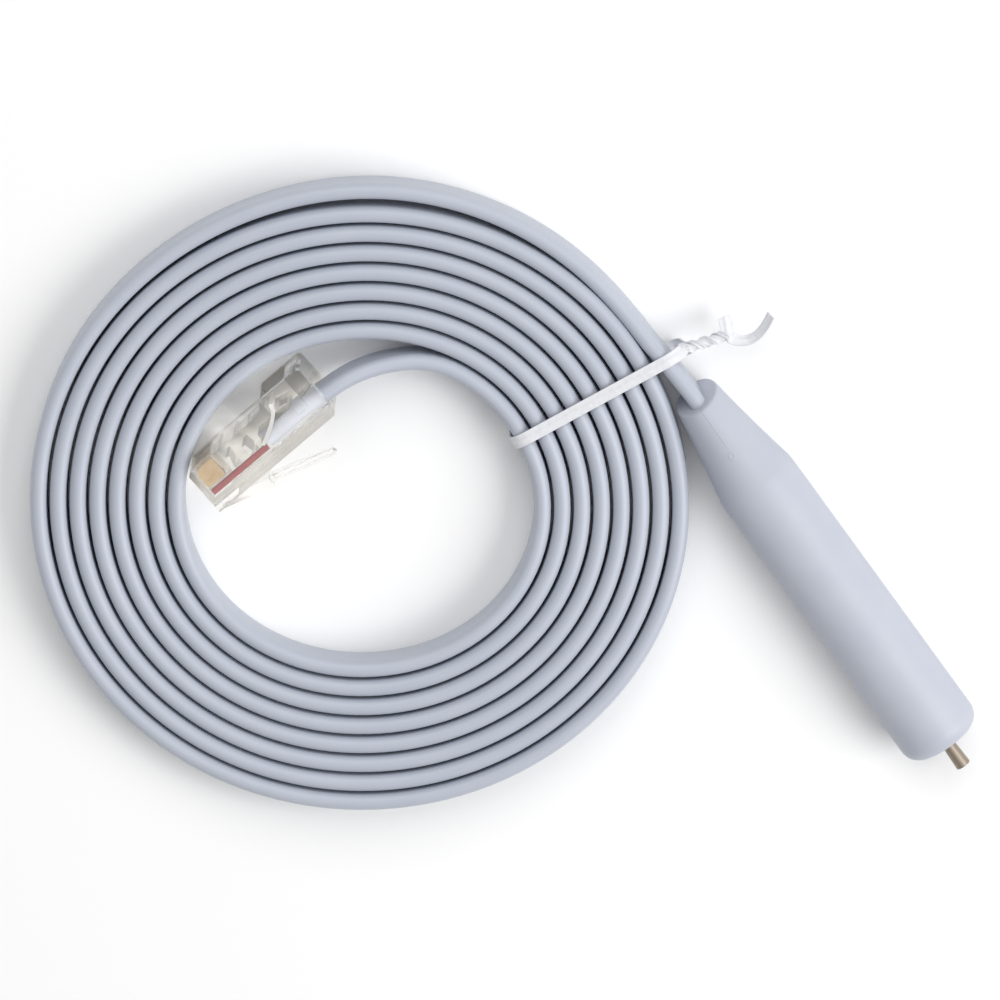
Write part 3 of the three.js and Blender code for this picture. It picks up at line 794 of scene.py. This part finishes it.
def tie_section():
    """A flat strip seen end on: half its thickness is e + (t - e) exp(-(side / spread)^2).

    Here t is half the thickness over the wire, e half the thickness at the edge, and side
    runs from -1 to 1 across the strip.
    """
    side = np.linspace(-1, 1, 15)
    half = TIE_EDGE / 2 + (TIE_THICKNESS - TIE_EDGE) / 2 * np.exp(-((side / BEAD_SPREAD) ** 2))
    top = np.stack([side * TIE_WIDTH / 2, half], -1)
    return np.concatenate([top[::-1], top * [1, -1]])


section = tie_section()
print("tie's section:", len(section), "points")

# %% The twisted stem
TWIST_RADIUS = 0.42
TWIST_ROUNDS = 1.4
TWIST_START = 2.6
TWIST_FROM = np.array([13.9, -0.3, 5.0])
TWIST_TO = np.array([19.2, -1.45, 4.4])


def twisted(start, end, first_angle, rounds, count=14):
    """Points that wind round the line from start to end, and the way out from that line.

    The angle grows evenly from first_angle by the rounds, at TWIST_RADIUS from the line.
    """
    t = np.linspace(0, 1, count)[:, None]
    line = start + (end - start) * t
    ahead = unit(end - start)
    beside = unit(np.cross(ahead, [0.0, 0.0, 1.0]))
    above = np.cross(beside, ahead)
    angle = first_angle + 2 * np.pi * rounds * t
    out = np.cos(angle) * above + np.sin(angle) * beside
    return line + TWIST_RADIUS * out, out


upper, upper_out = twisted(
    TWIST_TO, TWIST_FROM, TWIST_START + 2 * np.pi * TWIST_ROUNDS, TWIST_ROUNDS,
)
lower, lower_out = twisted(TWIST_FROM, TWIST_TO, TWIST_START, TWIST_ROUNDS)
print("length of the stem in mm:", round(float(np.linalg.norm(TWIST_TO - TWIST_FROM)), 2))

# %% The tie's route in its own frame
TOP, UNDER = 7.95, 0.33

short_end = [[20.3, 1.0, 4.5], [20.2, 0.4, 4.5], [19.9, -0.4, 4.5]]
loop = [
    [13.1, 0, 6.6], [12.3, 0, 7.4], [11.2, 0, 7.85],
    [9.5, 0, TOP], [6.0, 0, TOP], [2.0, 0, TOP], [-2.0, 0, TOP], [-6.0, 0, TOP], [-9.5, 0, TOP],
    [-11.2, 0, 7.9], [-12.3, 0, 7.5], [-13.0, 0, 6.7], [-13.2, 0, 5.6], [-13.2, 0, 4.0],
    [-13.2, 0, 2.4], [-13.0, 0, 1.2], [-12.2, 0, 0.5],
    [-11.0, 0, UNDER], [-9.0, 0, UNDER], [-5.0, 0, UNDER], [0.0, 0, UNDER], [5.0, 0, UNDER],
    [9.0, 0, UNDER], [11.0, 0, UNDER],
    [12.2, 0, 0.55], [13.0, 0, 1.3], [13.4, 0, 2.4], [13.6, 0, 3.4],
]
loop_out = [
    [0.8, 0, 0.6], [0.6, 0, 0.8], [0.2, 0, 1],
    *[[0, 0, 1]] * 6,
    [-0.2, 0, 1], [-0.6, 0, 0.8], [-0.9, 0, 0.4], [-1, 0, 0.1], [-1, 0, 0],
    [-1, 0, -0.1], [-0.9, 0, -0.4], [-0.5, 0, -0.9],
    [-0.1, 0, -1], *[[0, 0, -1]] * 5, [0.1, 0, -1],
    [0.5, 0, -0.9], [0.9, 0, -0.4], [1, 0, -0.1], [1, 0, 0],
]
long_end = [
    [19.9, -2.3, 4.2], [20.7, -3.1, 4.0], [21.7, -3.6, 3.8], [22.8, -3.65, 3.8],
    [23.9, -3.3, 3.9], [25.0, -2.7, 4.1], [26.0, -2.0, 4.3],
]
tie_route = np.concatenate([short_end, upper, loop, lower, long_end])
tie_out = np.concatenate([
    [[0.3, 0.1, 1.0]] * len(short_end), upper_out, loop_out, lower_out,
    [[-0.3, 0.75, 0.6]] * len(long_end),
])
print("tie's length in mm:", places_along(tie_route)[-1].round(1))

# %% The tie's skin
TIE_STEP = 0.22

chosen_at = places_along(tie_route)
line = smooth_line(tie_route, TIE_STEP)
line_at = np.linspace(0, chosen_at[-1], len(line))
facing = np.stack([np.interp(line_at, chosen_at, tie_out[:, k]) for k in range(3)], -1)
rings = rings_along(line, np.cross(np.gradient(line, axis=0), facing), section)
points, faces = skin(rings)
around = places_along(section)
tie = new_piece(
    "twisted_tie", place(in_tie_frame(points)), faces, tie_paper,
    np.tile(around, len(line)), np.repeat(line_at, len(section)), girth=around[-1] + TIE_EDGE,
)
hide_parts("twist_tie")
print("tie's lowest point in mm:", rings[..., 2].min().round(3))

# %% [markdown]
# ## The cable from end to end
# Its length was followed in the photograph from end to end. It leaves the handle's neck, and
# the plug with its contacts, its bars and its red wire is on its far end.

# %% [markdown]
# ## Floor and light
# A plain white sheet, a soft light from the right in the picture, a weaker one from its top
# and an even white sky. The right flanks of the turns are bright, their left flanks fall off
# slowly, and the gaps between them stay dark.

# %% Floor
FIBRE_MM = 0.6
FLOOR_REACH = 2.0

paper, tree, output = new_material("white_paper_sheet")
place_on = add_node(tree, "ShaderNodeTexCoord").outputs["Object"]
fibres = add_node(
    tree, "ShaderNodeTexNoise",
    {"Vector": place_on, "Scale": 1 / (FIBRE_MM * MM), "Detail": 3.0},
).outputs["Fac"]
relief = add_node(
    tree, "ShaderNodeBump", {"Height": fibres, "Strength": 0.1, "Distance": 0.05 * MM},
).outputs["Normal"]
shader = add_node(
    tree, "ShaderNodeBsdfPrincipled",
    {"Base Color": linear("#f8f8f8"), "Roughness": 0.9, "Normal": relief},
)
tree.links.new(shader.outputs["BSDF"], output.inputs["Surface"])

corners = FLOOR_REACH * np.array([[-1, -1, 0], [1, -1, 0], [1, 1, 0], [-1, 1, 0]])
sheet = bpy.data.meshes.new("floor")
sheet.from_pydata(corners.tolist(), [], [[0, 1, 2, 3]])
sheet.materials.append(paper)
floor = bpy.data.objects.new("floor", sheet)
bpy.context.scene.collection.objects.link(floor)
print("floor's width in m:", 2 * FLOOR_REACH)

# %% Lights
SKY_STRENGTH = 0.45


def add_light(name, azimuth, elevation, distance, size, power):
    """A square area light in metres and watts that looks at the middle of the view."""
    data = bpy.data.lights.new(name, "AREA")
    data.size = size
    data.energy = power
    turn, rise = np.radians([azimuth, elevation])
    way = Vector([np.cos(rise) * np.cos(turn), np.cos(rise) * np.sin(turn), np.sin(rise)])
    aim = way.to_track_quat("Z", "Y").to_matrix().to_4x4()
    light = bpy.data.objects.new(name, data)
    light.matrix_world = Matrix.Translation(way * distance) @ aim
    bpy.context.scene.collection.objects.link(light)
    print(name, power, "W")


add_light("key_softbox", azimuth=-10, elevation=42, distance=0.9, size=0.6, power=5.6)
add_light("fill_softbox", azimuth=95, elevation=50, distance=1.0, size=0.8, power=3.8)
world = bpy.data.worlds.new("studio")
world.use_nodes = True
sky = world.node_tree.nodes["Background"]
sky.inputs["Color"].default_value = (1.0, 1.0, 1.0, 1.0)
sky.inputs["Strength"].default_value = SKY_STRENGTH
bpy.context.scene.world = world
